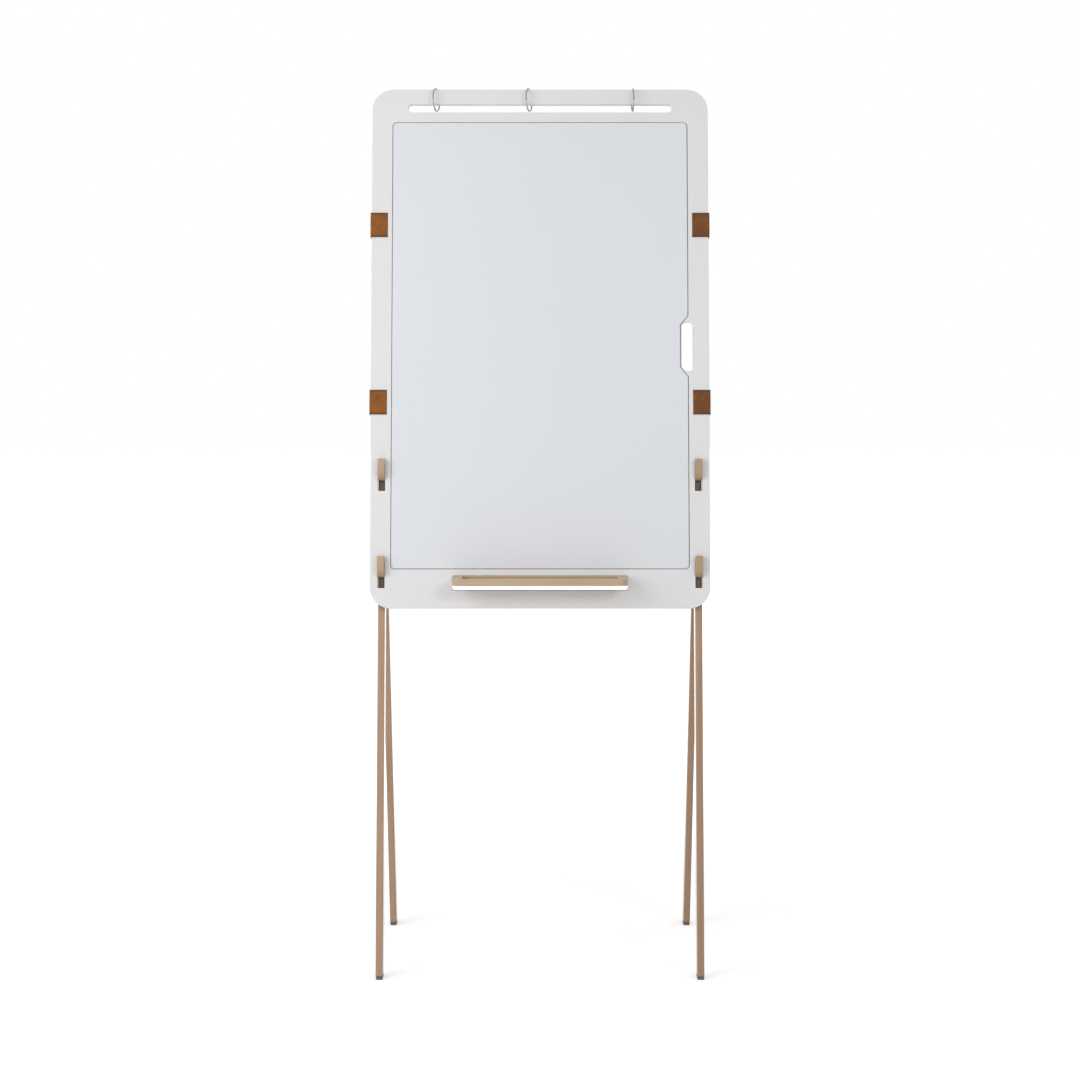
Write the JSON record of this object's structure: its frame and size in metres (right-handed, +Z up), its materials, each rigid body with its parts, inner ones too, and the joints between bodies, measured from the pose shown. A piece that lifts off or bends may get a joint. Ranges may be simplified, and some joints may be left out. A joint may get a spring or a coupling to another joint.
{
  "type": "whiteboard easel",
  "caption": "Floor-standing folding easel with a lift-off magnetic whiteboard panel, hooks, pen tray, leather straps, hand hole and sliding binder rings on its top bar.",
  "frame": {"origin": "on the floor, in the middle of the four feet", "axes": "+Z up, +X to the right of someone facing the board, the board faces -Y"},
  "size_m": [0.705, 0.5077, 1.8255],
  "materials": {
    "frame_wood": "satin oiled beech",
    "trim_wood": "satin oiled beech",
    "dowel_wood": "bare beech",
    "glide": "matte",
    "hinge_steel": "satin",
    "screw_steel": "satin",
    "white_lacquer": "satin white lacquer",
    "white_enamel": "gloss enamel",
    "hardboard": "bare hardboard",
    "strap_leather": "smooth vegetable-tanned",
    "stud_brass": "polished",
    "ring_chrome": "polished"
  },
  "bodies": {
    "front_frame": {"front_leg_left": "frame_wood", "front_leg_right": "frame_wood", "front_glide_left": "glide", "front_glide_right": "glide", "front_glide_screws": "screw_steel", "front_top_rail": "frame_wood", "front_hinge_rail": "frame_wood", "tray_rail": "frame_wood", "front_rail_dowels": "dowel_wood", "hinge_leaf_front_left": "hinge_steel", "hinge_leaf_front_right": "hinge_steel", "hinge_pins": "hinge_steel", "hinge_screws_front": "screw_steel", "hook_lower_left": "trim_wood", "hook_lower_right": "trim_wood", "hook_upper_left": "trim_wood", "hook_upper_right": "trim_wood", "hook_dowels": "dowel_wood", "pen_tray": "trim_wood", "tray_screws": "screw_steel"},
    "rear_frame": {"rear_leg_left": "frame_wood", "rear_leg_right": "frame_wood", "rear_glide_left": "glide", "rear_glide_right": "glide", "rear_glide_screws": "screw_steel", "rear_head_rail": "frame_wood", "rear_lower_rail": "frame_wood", "rear_rail_dowels": "dowel_wood", "hinge_leaf_rear_left": "hinge_steel", "hinge_leaf_rear_right": "hinge_steel", "hinge_screws_rear": "screw_steel"},
    "panel": {"panel_board": "white_lacquer", "whiteboard_sheet": "white_enamel", "whiteboard_backing": "hardboard", "strap_lower_left": "strap_leather", "strap_lower_right": "strap_leather", "strap_upper_left": "strap_leather", "strap_upper_right": "strap_leather", "stud_caps": "stud_brass", "stud_sockets": "stud_brass"},
    "ring_left": {"ring_lower_left": "ring_chrome", "ring_rivet_left": "ring_chrome"},
    "ring_gate_left": {"ring_upper_left": "ring_chrome"},
    "ring_middle": {"ring_lower_middle": "ring_chrome", "ring_rivet_middle": "ring_chrome"},
    "ring_gate_middle": {"ring_upper_middle": "ring_chrome"},
    "ring_right": {"ring_lower_right": "ring_chrome", "ring_rivet_right": "ring_chrome"},
    "ring_gate_right": {"ring_upper_right": "ring_chrome"}
  },
  "joints": [
    {"name": "rear_fold", "type": "hinge", "parent": "front_frame", "child": "rear_frame", "pos_m": [0, -0.08236, 0.92301], "axis": [-1, 0, 0], "range_deg": [0, 25]},
    {"name": "panel_lift", "type": "slide", "parent": "front_frame", "child": "panel", "axis": [0, 0.1392, 0.9903], "range_m": [0, 0.014]},
    {"name": "ring_slide_left", "type": "slide", "parent": "panel", "child": "ring_left", "axis": [1, 0, 0], "range_m": [-0.04, 0.08]},
    {"name": "ring_gate_left", "type": "hinge", "parent": "ring_left", "child": "ring_gate_left", "pos_m": [-0.21132, 0.01163, 1.79731], "axis": [-0.9703, 0.2396, -0.0337], "range_deg": [0, 100]},
    {"name": "ring_slide_middle", "type": "slide", "parent": "panel", "child": "ring_middle", "axis": [1, 0, 0], "range_m": [-0.095, 0.095]},
    {"name": "ring_gate_middle", "type": "hinge", "parent": "ring_middle", "child": "ring_gate_middle", "pos_m": [-0.01692, 0.01153, 1.79734], "axis": [-0.9659, 0.2563, -0.036], "range_deg": [0, 100]},
    {"name": "ring_slide_right", "type": "slide", "parent": "panel", "child": "ring_right", "axis": [1, 0, 0], "range_m": [-0.1, 0.06]},
    {"name": "ring_gate_right", "type": "hinge", "parent": "ring_right", "child": "ring_gate_right", "pos_m": [0.19277, 0.01228, 1.79713], "axis": [-0.9986, -0.0518, 0.0073], "range_deg": [0, 100]}
  ]
}
